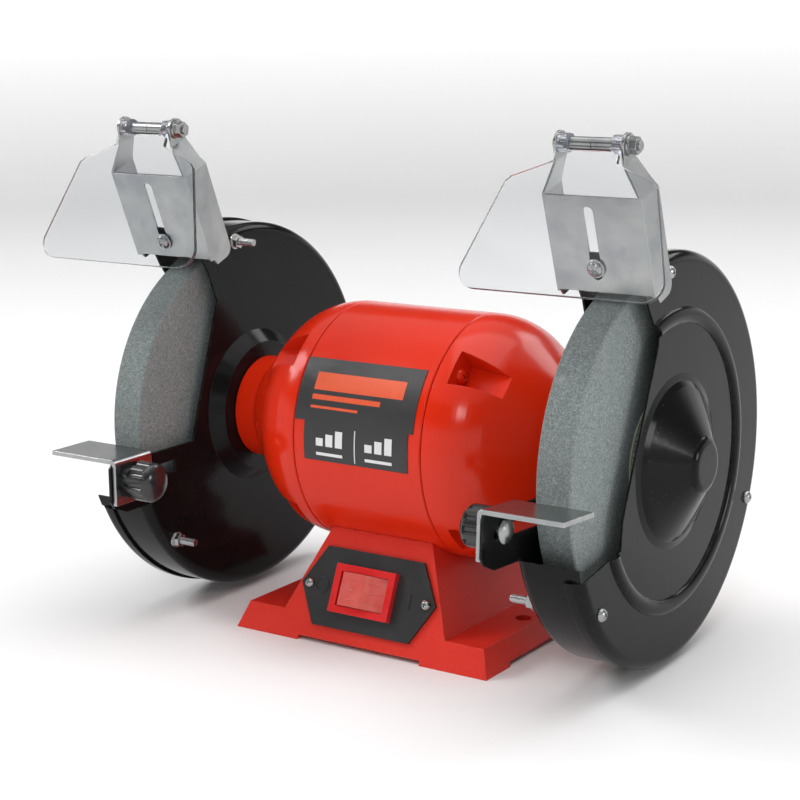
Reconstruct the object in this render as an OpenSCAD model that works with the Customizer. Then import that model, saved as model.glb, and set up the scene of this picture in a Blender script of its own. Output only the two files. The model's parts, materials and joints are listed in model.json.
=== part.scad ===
// Bench grinder with two guarded wheels, adjustable tool rests and hinged eye shields.
// The origin lies on the bench, midway between the two bench bolts.
// +X runs along the shaft to the right-hand wheel, -Y is the side the user stands at, +Z is up.

/* [Overall] */
// Height of the shaft axis above the bench
axis_h = 117; // [116:1:130]
// Distance from the middle of the motor to the middle of each wheel
wheel_mid = 142; // [140:1:170]

/* [Wheels] */
// Diameter of a grinding wheel
wheel_d = 200; // [150:1:202]
// Thickness of a grinding wheel
wheel_w = 20; // [16:1:24]
// Bore of a grinding wheel, filled by its bush
wheel_bore = 32; // [28:1:36]
// Diameter of the wheel flanges
flange_d = 70; // [50:1:76]
// Thickness of a wheel flange
flange_t = 6; // [4:0.5:6.5]
// Diameter of the relief turned into the clamping face of a flange
flange_relief_d = 46; // [38:1:48]
// Thickness of a paper blotter
blotter_t = 0.8; // [0.5:0.1:1]
// Thickness of the arbor nut
arbor_nut_t = 11; // [8:1:12]
// Width across the flats of the arbor nut
arbor_nut_af = 24; // [20:1:27]

/* [Shaft and bearings] */
// Diameter of the shaft inside the rotor
shaft_core_d = 26; // [24:1:30]
// Diameter of the shaft between the rotor and the bearings
shaft_mid_d = 22; // [20:1:23]
// Diameter of the bearing journals
journal_d = 17; // [17:1:19]
// Diameter of the wheel seats and threads
arbor_d = 16; // [12:1:16]
// Thread left showing beyond the arbor nut
arbor_end = 4; // [2:1:5]
// Outer diameter of a ball bearing
bearing_d = 40; // [38:1:42]
// Width of a ball bearing
bearing_w = 12; // [11:1:13]
// Diameter of a bearing ball
ball_d = 6.7; // [5:0.1:7]
// Number of balls in a bearing
ball_count = 8; // [6:1:9]

/* [Motor] */
// Outer diameter of the motor
motor_d = 141; // [138:1:145]
// Length of the motor shell between its two seams
shell_len = 86; // [80:1:90]
// Wall of the motor shell
shell_wall = 4; // [3:0.5:5]
// Wall of an end bell
bell_wall = 4; // [3:0.5:5]
// Radius of the curve of an end bell's shoulder
bell_round = 45; // [40:1:48]
// Slope at which an end bell runs on to its neck
bell_slope = 45; // [42:1:48]
// Diameter of the bearing neck
neck_d = 62; // [58:1:66]
// Radius of the fillet at the foot of the neck
neck_fillet = 3; // [1:0.5:4]
// Width of the groove at each seam
seam_gap = 0.5; // [0.3:0.1:0.8]
// Length of the stator laminations
stator_len = 56; // [40:1:60]
// Number of stator slots
stator_slots = 24; // [12:6:36]
// Depth of a stator slot
slot_depth = 15; // [10:1:17]
// Width of a stator slot
slot_w = 4; // [3:0.5:5]
// Diameter of the rotor
rotor_d = 72; // [66:1:76]
// Air gap between the rotor and the stator
air_gap = 0.4; // [0.3:0.1:1]
// Height of the windings beyond the laminations
end_turn = 12; // [8:1:13]
// Diameter of the tie bolts
tie_d = 5; // [4:0.5:6]
// Radius of the circle the tie bolts stand on
tie_circle = 60; // [58:0.5:61]
// Width of the pockets for the tie bolts at the seam
pocket_w = 22; // [18:1:24]
// Radius of the rounded end of the pockets
pocket_end_r = 7; // [5:0.5:8]
// Length of the pockets
pocket_len = 33; // [26:1:36]
// Thickness of the bell under a tie bolt's head
pocket_floor = 9; // [6:1:12]

/* [Base] */
// Length of the base along the shaft
base_len = 172; // [160:1:180]
// Depth of the base from front to back
base_depth = 128; // [124:1:140]
// Distance of the shaft behind the middle of the base
shaft_back = 8; // [4:0.5:10]
// Height of the base flange
base_flange_h = 15; // [12:1:18]
// Slope of the flange's ends from upright
base_draft = 20; // [5:1:22]
// Width of the pedestal at the bench
pedestal_w = 124; // [118:1:130]
// Slope of the pedestal's ends from upright
pedestal_slope = 24; // [20:1:26]
// Slope of the front face from upright
front_slope = 23.5; // [20:0.5:25]
// Slope of the back face from upright
back_slope = 10; // [4:1:14]
// Wall of the base
base_wall = 4; // [3:0.5:5]
// Height of the gaps between the corner pads
pad_h = 2.5; // [1:0.5:3.5]
// Length of a corner pad along the front
pad_len = 44; // [30:1:50]
// Length of a corner pad along the side
pad_side = 26; // [20:1:30]
// Distance between the two bench bolts
bench_bolt_span = 144; // [140:1:146]
// Diameter of the holes for the bench bolts
bench_hole_d = 10; // [7:0.5:11]
// Diameter of the bosses around the bench bolts
bench_boss_d = 18; // [15:1:19]
// Thickness of the bottom plate
bottom_plate_t = 1.2; // [1:0.1:2]
// Diameter of the bottom plate's screws
bottom_screw_d = 4; // [3:0.5:4]

/* [Switch] */
// Height of the switch's middle up the front slope
switch_rise = 33.5; // [33:0.5:35]
// Length of the switch plate between its two points
switch_plate_len = 92; // [88:1:93]
// Length of the switch plate's straight edges
switch_plate_flat = 66; // [60:1:68]
// Height of the switch plate
switch_plate_h = 46; // [42:1:47]
// Thickness of the switch plate
switch_plate_t = 2; // [1.5:0.5:3]
// Distance between the switch plate's screws
switch_screw_span = 80; // [76:1:82]
// Distance of the switch to the left of the middle
switch_offset = 1.5; // [0:0.5:3]
// Length of the switch's frame
switch_len = 40.5; // [37:0.5:42]
// Height of the switch's frame
switch_h = 28; // [27:1:30]
// Distance the switch's frame stands off the plate
switch_proud = 4; // [3:0.5:5]
// Angle of the rocker to either side of level
rocker_tilt = 9; // [6:1:10]

/* [Guards] */
// Outer radius of the guard band
band_r = 112.6; // [110:0.1:113]
// Thickness of the guard's sheet
guard_t = 1.2; // [1:0.1:1.5]
// Gap from the wheel to the motor side of the guard
guard_in = 8; // [8:0.5:10]
// Gap from the wheel to the outside of the cover
guard_out = 10; // [10:0.5:12]
// Radius of the bends at the guard's rims
guard_bend = 6; // [4:0.5:8]
// Depth the guard's hub is pressed towards the motor
hub_depth = 7; // [5:0.5:8]
// Outer radius of the guard's pressed hub
hub_r = 47; // [45:1:50]
// Height of the cover's dome
dome_h = 19; // [18:1:24]
// Radius of the flat end of the cover's dome
nose_flat = 11; // [6:1:16]
// Radius of the foot of the cover's dome
dome_r = 46; // [42:1:50]
// Radius of the middle of the cover's raised ring
ring_r = 79.5; // [76:0.5:84]
// Width of the cover's raised ring
ring_w = 9; // [6:1:12]
// Height of the cover's raised ring
ring_h = 2.4; // [1:0.2:3]
// Length of the cover's folded rim
cover_rim = 10; // [8:1:12]
// Diameter of the guard screws
guard_screw_d = 4; // [3:0.5:4]
// Radius of the circle the guard screws stand on
guard_screw_r = 105; // [104.5:0.5:105]
// Turn of the left guard about the shaft
left_guard_turn = 0; // [-2:0.5:4]
// Turn of the right guard about the shaft
right_guard_turn = 3.5; // [-2:0.5:4]

/* [Tool rests] */
// Length of a tool rest along the shaft
rest_len = 48.5; // [44:0.5:52]
// Depth of a tool rest
rest_depth = 30.5; // [26:0.5:34]
// Thickness of the tool rest's steel
rest_t = 2.5; // [2:0.5:3]
// Height of the tool rest's leg
rest_leg = 26.5; // [25:0.5:30]
// Height of the tool rest's top below the shaft
rest_drop = 8.4; // [8:0.1:9]
// Gap from the wheel to the left tool rest
left_rest_gap = 2.5; // [1.5:0.5:5]
// Gap from the wheel to the right tool rest
right_rest_gap = 7.5; // [1.5:0.5:8]
// Distance of the clamp bolt in front of the wheel's rim
clamp_out = 17.5; // [16:0.5:19]
// Diameter of the clamp bolt
clamp_d = 6; // [5:0.5:6]
// Diameter of the clamp knob
knob_d = 23; // [20:1:26]
// Length of the clamp knob
knob_len = 19; // [16:1:22]
// Number of flutes on the clamp knob
knob_flutes = 10; // [6:1:12]

/* [Eye shields] */
// Slope of the shield bracket from upright
bracket_slope = 22; // [18:1:26]
// Width of the shield bracket
bracket_w = 56.5; // [54:0.5:58]
// Height of the shield bracket's plate
bracket_h = 53.5; // [52:0.5:58]
// Depth of the shield bracket's sides
bracket_side = 19; // [17:0.5:20]
// Thickness of the shield bracket
bracket_t = 1.5; // [1:0.1:2]
// Width of the slot in the shield bracket
bracket_slot_w = 6; // [5.5:0.5:7]
// Distance between the two ears of the bracket at the hinge
ear_span = 37; // [34:0.5:40]
// Height of the hinge above the foot of the bracket
hinge_rise = 76; // [72:1:80]
// Distance of the hinge behind the bracket's front
hinge_back = 15.7; // [14:0.1:17]
// Diameter of the hinge bolt
hinge_d = 5; // [4:0.5:5]
// Slope of the shield from upright
shield_slope = 22; // [18:1:24]
// Thickness of the shield
shield_t = 2.5; // [2:0.5:3]
// Height of the shield below its hinge
shield_h = 82; // [76:1:90]
// Width of the shield at its foot
shield_w = 117; // [110:1:124]
// Width of the shield at its shoulders
shoulder_w = 86; // [80:1:94]
// Height of the left bracket above the middle of its travel
left_bracket_raise = 2; // [-2:0.5:2]
// Height of the right bracket above the middle of its travel
right_bracket_raise = -2; // [-2:0.5:2]

/* [Hidden] */
// Radial clearance of parts that fit into each other
fit = 0.02;
// Clearance of sliding and turning parts
play = 0.3;
// Clearance of the balls in their bearings
ball_play = 0.08;
$fn = 64;

paint_red = [0.86, 0.12, 0.05];
paint_black = [0.06, 0.06, 0.06];
zinc = [0.78, 0.79, 0.80];
steel = [0.62, 0.63, 0.65];
lamination = [0.42, 0.43, 0.45];
copper = [0.72, 0.38, 0.16];
plastic_black = [0.10, 0.10, 0.11];
abrasive = [0.46, 0.50, 0.50];

// Positions along the shaft, measured outward from the middle of the motor
wheel_r = wheel_d / 2;
wheel_in = wheel_mid - wheel_w / 2;
wheel_out = wheel_mid + wheel_w / 2;
pan_face = wheel_in - guard_in;
hub_face = pan_face - hub_depth;
cover_face = wheel_out + guard_out;
flange_in = wheel_in - blotter_t - flange_t;
flange_out = wheel_out + blotter_t + flange_t;
shaft_end = flange_out + arbor_nut_t + arbor_end;
seam = shell_len / 2;
motor_r = motor_d / 2;
neck_r = neck_d / 2;
bearing_out = hub_face - 7;
bearing_in = bearing_out - bearing_w;
stator_r = motor_r - shell_wall - fit;
stator_bore = rotor_d / 2 + air_gap;
pocket_face = seam + pocket_floor;
pocket_depth_r = tie_circle - 6;
pocket_wall = 3;

// Screw heads
pan_head_h = 3;
nut_t = 3.4;

// The base
front_run = tan(front_slope);
back_run = tan(back_slope);
base_half = base_depth / 2;
saddle_r = motor_r + 0.1;
pedestal_top = axis_h - motor_r * 0.6;
bottom_plate_z = pad_h + 1.6;
bottom_screws = [for (sx = [-1, 1]) for (y = [-base_half + 20, base_half - 18]) [sx * (base_len / 2 - 19), y]];
gland_x = -34;
gland_z = 24;
gland_bore = 8.4;
gland_hole_r = 8;
saddle_front = base_half + shaft_back - (axis_h - 0.93 * motor_r) * front_run;
mount_screw_angle = asin((saddle_front - 23.2) / saddle_r);
mount_screw_x = 24;
mount_screw_r = 2.5;
wire_x = -32;

// The switch's body behind the plate
body_l = switch_len - 5.4;
body_h = switch_h - 5.4;
body_wall = 1.4;
rocker_pivot = -3;
rocker_pin_r = 1.2;

// The guard's openings, as distances in front of and above the shaft
ear_top = -rest_drop - rest_t - play;
ear_foot = -41;
band_end_low = -40;
pan_corner = [62, ear_top];
pan_throat = [35.5, 69.4];
pan_brow = [43.6, 88.9];
brow_lean = 0.76;
cover_corner = [61, -38];
slot_back = 79;
slot_front = 128;
clamp_drop = 22.5;
clamp_u = wheel_r + clamp_out;
guard_screw_angles = [80, 200, 320];
tab_w = 20;
tab_start = 2.6;

// The bracket's foot, and the point where its screw holds it
bracket_foot = [52, 95];
bracket_screw_s = 12;
bracket_drop = 5;
bracket_offset = 2.8;
bracket_lean = 3.25;
ear_end_r = 6.5;
sleeve_r = 3.6;
shield_stand = 6;
eye_r = 5.2;
eye_w = 5;
corner_r = 10;

// Points along an arc
function arc(c, r, from, to, steps = 12) =
    [for (i = [0:steps]) let (a = from + (to - from) * i / steps) [c[0] + r * cos(a), c[1] + r * sin(a)]];

// An outline made of one half and its mirror image in the Y axis
function both_halves(half) =
    concat(half, [for (i = [len(half) - 1:-1:0]) [-half[i][0], half[i][1]]]);

// The shoulder of an end bell, drawn in from the outside by one wall, as radius against distance
function bell_curve(inset) =
    arc([motor_r - bell_round, seam + 1], bell_round - inset, 0, bell_slope, 14);

// Distance at which the slope of an end bell comes down to a radius
function bell_reach(inset, r) =
    let (p = bell_curve(inset)[14]) p[1] + (p[0] - r) / tan(bell_slope);

// Places its children with +Z outward along the shaft, on one side of the motor
module along_shaft(side) {
    translate([0, shaft_back, axis_h])
        rotate([0, side * 90, 0])
            children();
}

// The left guard's own directions: +X forward, +Y up and +Z outward along the shaft
module guard_axes(turn) {
    translate([0, shaft_back, axis_h])
        rotate([-turn, 0, 0])
            rotate([90, 0, -90])
                children();
}

// Places its children on one guard; the right guard mirrors the left
module at_guard(side) {
    if (side < 0)
        guard_axes(left_guard_turn)
            children();
    else
        mirror([1, 0, 0])
            guard_axes(right_guard_turn)
                children();
}

// Places its children on the bracket: +X along the shaft towards the motor, +Y up the plate, +Z to the front
module at_bracket(side) {
    at_guard(side)
        translate([bracket_foot[0], bracket_foot[1], wheel_mid])
            rotate([0, 0, -bracket_slope])
                rotate([0, 90, 0])
                    translate([side * bracket_offset, 0, 0])
                        children();
}

// Places its children on the bracket at the height it is set to
module at_raised_bracket(side) {
    at_bracket(side)
        translate([0, side < 0 ? left_bracket_raise : right_bracket_raise, 0])
            children();
}

// Places its children on the front slope: +X right, +Y up the slope, +Z outward
module on_front() {
    translate([0, -base_half, 0])
        rotate([90 - front_slope, 0, 0])
            children();
}

// Places its children on the back slope, round the cable's axis, with +Z outward
module on_back() {
    translate([gland_x, base_half - gland_z * back_run, gland_z])
        rotate([back_slope - 90, 0, 0])
            children();
}

module tube(r_out, r_in, h) {
    difference() {
        cylinder(r = r_out, h = h);
        translate([0, 0, -1])
            cylinder(r = r_in, h = h + 2);
    }
}

// A round-headed screw with a cross recess, its head above z = 0 and its thread below
module pan_screw(d, length, head_r) {
    difference() {
        union() {
            translate([0, 0, -length])
                cylinder(d = d, h = length + 0.5);
            rotate_extrude()
                polygon(concat([[0, 0]], [for (p = arc([0, 0], 1, 0, 90, 6)) [head_r * p[0], pan_head_h * p[1]]]));
        }
        for (a = [0, 90])
            rotate([0, 0, a])
                translate([-head_r * 0.5, -0.5, pan_head_h - 1.4])
                    cube([head_r, 1, 3]);
    }
}

module hex_nut(across_flats, bore, h) {
    difference() {
        cylinder(d = across_flats / cos(30), h = h, $fn = 6);
        translate([0, 0, -1])
            cylinder(d = bore, h = h + 2, $fn = 48);
    }
}

// ---------------------------------------------------------------- base

// Side view of the base between its front and back faces, drawn in from the outside by one wall
module base_side(inset, top) {
    low = -1;
    in_front = inset / cos(front_slope);
    in_back = inset / cos(back_slope);
    polygon([
        [-base_half + in_front + low * front_run, low],
        [base_half - in_back - low * back_run, low],
        [base_half - in_back - top * back_run, top],
        [-base_half + in_front + top * front_run, top]
    ]);
}

// Front view of a part of the base that narrows upward
module base_end_view(half, slope, inset, top) {
    low = -1;
    edge = half - inset / cos(slope);
    polygon([
        [-edge + low * tan(slope), low],
        [edge - low * tan(slope), low],
        [edge - top * tan(slope), top],
        [-edge + top * tan(slope), top]
    ]);
}

module base_block(half, slope, inset, top) {
    intersection() {
        rotate([90, 0, 0])
            linear_extrude(400, center = true)
                base_end_view(half, slope, inset, top);
        rotate([90, 0, 90])
            linear_extrude(400, center = true)
                base_side(inset, top);
    }
}

module base() {
    color(paint_red)
        difference() {
            union() {
                difference() {
                    union() {
                        base_block(base_len / 2, base_draft, 0, base_flange_h);
                        base_block(pedestal_w / 2, pedestal_slope, 0, pedestal_top);
                    }
                    base_block(base_len / 2, base_draft, base_wall, base_flange_h - base_wall);
                    difference() {
                        base_block(pedestal_w / 2, pedestal_slope, base_wall, pedestal_top + 1);
                        along_shaft(1)
                            cylinder(r = saddle_r + base_wall + 1, h = 400, center = true, $fn = 96);
                    }
                    translate([-(base_len / 2 - pad_len), -200, -2])
                        cube([base_len - 2 * pad_len, 400, pad_h + 2]);
                    translate([-200, -base_half + pad_side, -2])
                        cube([400, base_depth - 2 * pad_side, pad_h + 2]);
                }
                for (sx = [-1, 1])
                    translate([sx * bench_bolt_span / 2, 0, 0])
                        cylinder(d = bench_boss_d, h = base_flange_h - 0.5);
                for (p = bottom_screws)
                    translate([p[0], p[1], bottom_plate_z + bottom_plate_t])
                        cylinder(d = 9, h = base_flange_h - bottom_plate_z - bottom_plate_t - 0.5);
            }
            along_shaft(1)
                cylinder(r = saddle_r, h = 400, center = true, $fn = 96);
            translate([-300, -300, -600])
                cube(600);
            for (sx = [-1, 1])
                translate([sx * bench_bolt_span / 2, 0, -1])
                    cylinder(d = bench_hole_d, h = base_flange_h + 2);
            for (p = bottom_screws)
                translate([p[0], p[1], bottom_plate_z])
                    cylinder(d = bottom_screw_d + 2 * fit, h = 8);
            on_front() {
                translate([-switch_offset - switch_len / 2 + 2.5, switch_rise - switch_h / 2 + 2.5, -3 * base_wall])
                    cube([switch_len - 5, switch_h - 5, 6 * base_wall]);
                for (sx = [-1, 1])
                    translate([sx * switch_screw_span / 2, switch_rise, -3 * base_wall])
                        cylinder(r = 1.5 + fit, h = 6 * base_wall);
            }
            on_back()
                translate([0, 0, -3 * base_wall])
                    cylinder(r = gland_hole_r + 2 * fit, h = 6 * base_wall);
            mount_screw_places()
                cylinder(r = mount_screw_r + play, h = 60, center = true);
            wire_hole();
        }
}

// The hole that the motor's wires come through
module wire_hole() {
    translate([wire_x, shaft_back, axis_h - motor_r - 2 * base_wall])
        cylinder(r = 4, h = 4 * base_wall);
}

// The four screws under the motor, with +Z pointing at the shaft and z = 0 where the head rests
module mount_screw_places() {
    for (sx = [-1, 1])
        for (a = [-1, 1])
            translate([sx * mount_screw_x, shaft_back, axis_h])
                rotate([a * mount_screw_angle, 0, 0])
                    translate([0, 0, -(saddle_r + base_wall + 1)])
                        children();
}

module motor_mount_screws() {
    color(zinc)
        mount_screw_places()
            mirror([0, 0, 1])
                pan_screw(2 * mount_screw_r, base_wall + shell_wall - 0.5, 4.6);
}

module bottom_plate() {
    edge_x = base_len / 2 - base_wall - 3.5;
    front = base_half - base_wall - 3.5;
    back = base_half - base_wall - 2;
    color(zinc)
        difference() {
            translate([-edge_x, -front, bottom_plate_z])
                cube([2 * edge_x, front + back, bottom_plate_t]);
            for (sx = [-1, 1])
                translate([sx * bench_bolt_span / 2, 0, 0])
                    cylinder(d = bench_boss_d + 1, h = 20);
            for (p = bottom_screws)
                translate([p[0], p[1], 0])
                    cylinder(d = bottom_screw_d + 2 * play, h = 20);
        }
}

module bottom_plate_screws() {
    color(zinc)
        for (p = bottom_screws)
            translate([p[0], p[1], bottom_plate_z])
                mirror([0, 0, 1])
                    intersection() {
                        pan_screw(bottom_screw_d, 7, 3.8);
                        translate([-20, -20, -30])
                            cube([40, 40, 30 + 1.8]);
                    }
}

// ---------------------------------------------------------------- motor

module motor_shell() {
    color(paint_red)
        difference() {
            along_shaft(1)
                translate([0, 0, -seam + seam_gap / 2])
                    rotate_extrude($fn = 128)
                        shell_section(shell_len - seam_gap);
            mount_screw_places()
                cylinder(r = mount_screw_r + fit, h = base_wall + shell_wall + 6);
            wire_hole();
        }
}

// Half section of the shell with its edges broken by a small chamfer
module shell_section(length) {
    edge = 0.6;
    polygon([
        [motor_r - shell_wall, 0], [motor_r - edge, 0], [motor_r, edge],
        [motor_r, length - edge], [motor_r - edge, length], [motor_r - shell_wall, length]
    ]);
}

// Half section of the outside of an end bell
module bell_outside() {
    edge = 0.6;
    start = seam + seam_gap / 2;
    foot = neck_r + neck_fillet * (1 - sin(bell_slope));
    foot_z = bell_reach(0, foot);
    polygon(concat(
        [[0, start], [motor_r - edge, start], [motor_r, start + edge]],
        bell_curve(0),
        arc([neck_r + neck_fillet, foot_z + neck_fillet * cos(bell_slope)], neck_fillet, 180 + bell_slope, 180, 6),
        [[neck_r, hub_face - 0.8], [neck_r - 0.8, hub_face], [0, hub_face]]
    ));
}

// Half section of the hollow inside an end bell
module bell_inside() {
    foot = bearing_d / 2 + 20;
    foot_z = bell_reach(bell_wall, foot);
    polygon(concat(
        [[0, seam - 1], [motor_r - bell_wall, seam - 1]],
        bell_curve(bell_wall),
        [[foot, foot_z], [bearing_d / 2 + 4, foot_z + 3], [0, foot_z + 3]]
    ));
}

module end_bell(side) {
    color(paint_red)
        along_shaft(side)
            difference() {
                rotate_extrude($fn = 128)
                    bell_outside();
                difference() {
                    rotate_extrude($fn = 96)
                        bell_inside();
                    for (a = [45:90:315])
                        rotate([0, 0, a])
                            translate([pocket_depth_r - pocket_wall, -pocket_w / 2 - pocket_wall, seam - 2])
                                cube([60, pocket_w + 2 * pocket_wall, 100]);
                }
                translate([0, 0, bearing_in - 8])
                    cylinder(d = bearing_d + 2 * fit, h = bearing_w + 8);
                cylinder(r = journal_d / 2 + 5, h = 300);
                for (a = [45:90:315])
                    rotate([0, 0, a]) {
                        translate([tie_circle, 0, 0])
                            cylinder(d = tie_d + 2 * play, h = 300);
                        translate([pocket_depth_r, 0, pocket_face])
                            rotate([0, 90, 0])
                                linear_extrude(60)
                                    pocket_outline();
                    }
                for (a = [0:90:270])
                    rotate([0, 0, a - side * (side < 0 ? left_guard_turn : right_guard_turn)])
                        translate([neck_r - 6.5, 0, hub_face - 12])
                            cylinder(r = 2.5 + fit, h = 20);
            }
}

// A pocket seen from outside, with the seam's side at the top and a round end below
module pocket_outline() {
    end = [pocket_end_r - pocket_len, 0];
    lean = 12;
    half = arc(end, pocket_end_r, 180, 90 + lean, 8);
    polygon(concat(
        [[0, -pocket_w / 2], [0, pocket_w / 2]],
        [for (i = [8:-1:0]) half[i]],
        [for (i = [1:8]) [half[i][0], -half[i][1]]]
    ));
}

module tie_bolts() {
    color(zinc)
        for (a = [45:90:315])
            along_shaft(1)
                rotate([0, 0, a])
                    translate([tie_circle, 0, pocket_face])
                        pan_screw(tie_d, 2 * pocket_face + 7, 4.6);
}

module tie_bolt_nuts() {
    color(zinc)
        for (a = [45:90:315])
            along_shaft(-1)
                rotate([0, 0, a])
                    translate([tie_circle, 0, pocket_face])
                        hex_nut(8, tie_d + 2 * fit, 4);
}

module stator_core() {
    color(lamination)
        along_shaft(1)
            difference() {
                translate([0, 0, -stator_len / 2])
                    cylinder(r = stator_r, h = stator_len, $fn = 96);
                translate([0, 0, -stator_len])
                    cylinder(r = stator_bore, h = 2 * stator_len, $fn = 96);
                for (i = [0:stator_slots - 1])
                    rotate([0, 0, i * 360 / stator_slots])
                        translate([stator_bore + 1, -slot_w / 2, -stator_len])
                            cube([slot_depth, slot_w, 2 * stator_len]);
                for (a = [45:90:315])
                    rotate([0, 0, a])
                        translate([tie_circle, 0, -stator_len])
                            cylinder(d = tie_d + 2 * play, h = 2 * stator_len);
            }
}

module stator_windings() {
    inner = stator_bore + 2;
    outer = stator_bore + slot_depth;
    color(copper)
        along_shaft(1) {
            for (s = [-1, 1])
                translate([0, 0, s * (stator_len / 2 + 0.3 + end_turn / 2)])
                    rotate_extrude($fn = 96)
                        winding_section(inner, outer);
            for (i = [0:stator_slots - 1])
                rotate([0, 0, i * 360 / stator_slots])
                    translate([inner + 0.6, -slot_w / 2 + 0.3, -stator_len / 2 - 2])
                        cube([slot_depth - 3.4, slot_w - 0.6, stator_len + 4]);
        }
}

module winding_section(inner, outer) {
    r = 3;
    h = end_turn / 2;
    polygon(concat(
        arc([outer - r, h - r], r, 0, 90, 5),
        arc([inner + r, h - r], r, 90, 180, 5),
        arc([inner + r, r - h], r, 180, 270, 5),
        arc([outer - r, r - h], r, 270, 360, 5)
    ));
}

// ---------------------------------------------------------------- rotor

module bearing_ring(r_out, r_in) {
    mid = (bearing_d + journal_d) / 4;
    rotate_extrude($fn = 64)
        difference() {
            translate([r_in, 0])
                square([r_out - r_in, bearing_w]);
            translate([mid, bearing_w / 2])
                circle(r = ball_d / 2 + ball_play, $fn = 32);
        }
}

module at_bearings() {
    for (side = [-1, 1])
        along_shaft(side)
            translate([0, 0, bearing_in])
                children();
}

module bearing_outer_rings() {
    color(steel)
        at_bearings()
            bearing_ring(bearing_d / 2, bearing_d / 2 - 3.6);
}

module bearing_inner_rings() {
    color(steel)
        at_bearings()
            bearing_ring(journal_d / 2 + 3.4, journal_d / 2 + fit);
}

module bearing_balls() {
    color(steel)
        at_bearings()
            for (i = [0:ball_count - 1])
                rotate([0, 0, i * 360 / ball_count])
                    translate([(bearing_d + journal_d) / 4, 0, bearing_w / 2])
                        sphere(d = ball_d, $fn = 32);
}

module rotor_core() {
    color(lamination)
        along_shaft(1)
            translate([0, 0, -stator_len / 2])
                tube(rotor_d / 2, shaft_core_d / 2 + fit, stator_len);
}

module rotor_end_rings() {
    color(zinc)
        for (side = [-1, 1])
            along_shaft(side)
                translate([0, 0, stator_len / 2])
                    tube(rotor_d / 2 - 1, rotor_d / 2 - 13, 7);
}

// Half section of one half of the shaft
module shaft_section() {
    chamfer = 1.2;
    core_end = stator_len / 2 + 4;
    polygon([
        [0, -0.5], [shaft_core_d / 2, -0.5], [shaft_core_d / 2, core_end], [shaft_mid_d / 2, core_end],
        [shaft_mid_d / 2, bearing_in], [journal_d / 2, bearing_in], [journal_d / 2, flange_in],
        [arbor_d / 2, flange_in], [arbor_d / 2, shaft_end - chamfer], [arbor_d / 2 - chamfer, shaft_end],
        [0, shaft_end]
    ]);
}

module shaft() {
    color(steel)
        for (side = [-1, 1])
            along_shaft(side)
                rotate_extrude($fn = 64)
                    shaft_section();
}

module grinding_wheel(side) {
    edge = 0.8;
    inner = wheel_bore / 2;
    color(abrasive)
        along_shaft(side)
            translate([0, 0, wheel_in])
                rotate_extrude($fn = 180)
                    polygon([
                        [inner, 0], [wheel_r - edge, 0], [wheel_r, edge],
                        [wheel_r, wheel_w - edge], [wheel_r - edge, wheel_w], [inner, wheel_w]
                    ]);
}

module wheel_bushes() {
    color([0.85, 0.84, 0.78])
        for (side = [-1, 1])
            along_shaft(side)
                translate([0, 0, wheel_in])
                    tube(wheel_bore / 2 - fit, arbor_d / 2 + fit, wheel_w);
}

// Half section of a wheel flange, with its relief in the face at z = 0
module flange_section() {
    relief = 1.2;
    polygon([
        [arbor_d / 2 + fit, relief], [flange_relief_d / 2, relief], [flange_relief_d / 2, 0],
        [flange_d / 2, 0], [flange_d / 2, flange_t - 2.5], [flange_d / 2 - 4, flange_t - 1],
        [flange_d / 2 - 14, flange_t], [arbor_d / 2 + fit, flange_t]
    ]);
}

module inner_wheel_flanges() {
    color(steel)
        for (side = [-1, 1])
            along_shaft(side)
                translate([0, 0, wheel_in - blotter_t])
                    mirror([0, 0, 1])
                        rotate_extrude($fn = 96)
                            flange_section();
}

module outer_wheel_flanges() {
    color(steel)
        for (side = [-1, 1])
            along_shaft(side)
                translate([0, 0, wheel_out + blotter_t])
                    rotate_extrude($fn = 96)
                        flange_section();
}

module blotters() {
    color([0.55, 0.62, 0.50])
        for (side = [-1, 1])
            for (w = [wheel_in - blotter_t, wheel_out])
                along_shaft(side)
                    translate([0, 0, w])
                        tube(flange_d / 2 + 1, flange_relief_d / 2 - 1, blotter_t);
}

module arbor_nuts() {
    color(zinc)
        for (side = [-1, 1])
            along_shaft(side)
                translate([0, 0, flange_out])
                    intersection() {
                        hex_nut(arbor_nut_af, arbor_d + 2 * fit, arbor_nut_t);
                        cylinder(
                            r1 = arbor_nut_af / 2 + 6,
                            r2 = arbor_nut_af / 2 + 0.6,
                            h = arbor_nut_t,
                            $fn = 48
                        );
                    }
}

// ---------------------------------------------------------------- guards

// Half section of the inner guard: hub, disc, bend and band, all of one sheet
module pan_section() {
    disc_r = band_r - guard_bend;
    bend = [disc_r, pan_face + guard_bend];
    band_edge = cover_face - 0.5;
    hub_in = hub_r - 7;
    polygon(concat(
        [[19, hub_face], [hub_in, hub_face], [hub_r, pan_face]],
        arc(bend, guard_bend, -90, 0, 10),
        [[band_r, band_edge], [band_r - guard_t, band_edge]],
        arc(bend, guard_bend - guard_t, 0, -90, 10),
        [[hub_r - 0.6, pan_face + guard_t], [hub_in - 0.6, hub_face + guard_t], [19, hub_face + guard_t]]
    ));
}

// The mouth in front of the wheel, where the disc of the inner guard is cut away
module pan_mouth() {
    far = 200;
    polygon([
        pan_corner, [far, ear_top], [far, far],
        [pan_brow[0] + brow_lean * (far - pan_brow[1]), far], pan_brow, pan_throat
    ]);
}

// The mouth in front of the wheel, where the band is cut away
module band_mouth() {
    far = 200;
    polygon([
        [pan_corner[0], band_end_low], [far, band_end_low], [far, far],
        [pan_brow[0] + brow_lean * (far - pan_brow[1]), far], pan_brow, pan_corner
    ]);
}

// Distance from the shaft to the front of a tool rest
function rest_front(side) = wheel_r + (side < 0 ? left_rest_gap : right_rest_gap) + rest_depth;

// The part of the band that reaches out as far as the cover's face, just above the cover's rim
module band_tongue() {
    polygon([[80, band_end_low + 2], [120, band_end_low + 2], [120, -51], [80, -41.8]]);
}

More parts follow.
